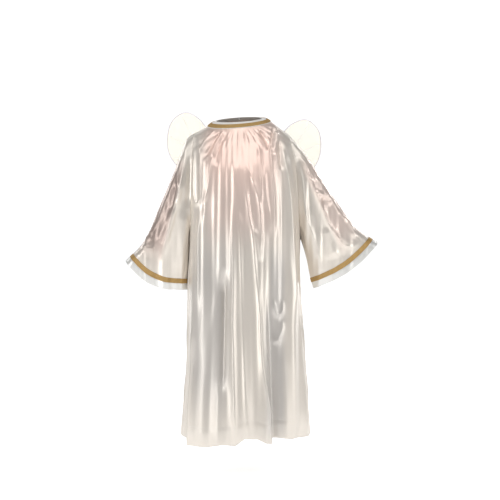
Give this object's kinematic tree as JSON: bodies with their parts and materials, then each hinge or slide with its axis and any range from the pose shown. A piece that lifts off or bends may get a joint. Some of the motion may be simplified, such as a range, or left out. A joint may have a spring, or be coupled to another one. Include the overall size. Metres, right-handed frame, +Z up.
{
  "type": "child's angel costume with gauze wings",
  "caption": "Long satin angel robe for a child, worn form left hollow, with wide bell sleeves, gold braid at neck and cuffs, and small gauze wings behind the shoulders.",
  "frame": {"origin": "midway between the shoulders, level with the front of the neck seam, where the wearer's shoulders hold the robe up", "axes": "+Z up; the front faces -Y; +X is the wearer's left"},
  "size_m": [0.786, 0.3621, 1.0191],
  "materials": {
    "satin": "lustrous ivory white satin",
    "band_cloth": "matt side of the white satin",
    "gold_braid": "woven old gold braid",
    "wing_wire": "thread-wrapped wire",
    "wing_gauze": "sheer cream gauze"
  },
  "bodies": {
    "root": {"robe_front": "satin", "robe_back_left": "satin", "robe_back_right": "satin", "sleeve_left": "satin", "sleeve_right": "satin", "neckband": "band_cloth", "neck_braid": "gold_braid", "cuff_braid_left": "gold_braid", "cuff_braid_right": "gold_braid", "wing_pad": "satin", "wing_rim_left": "wing_wire", "wing_rim_right": "wing_wire", "wing_gauze_left": "wing_gauze", "wing_gauze_right": "wing_gauze"}
  },
  "joints": []
}
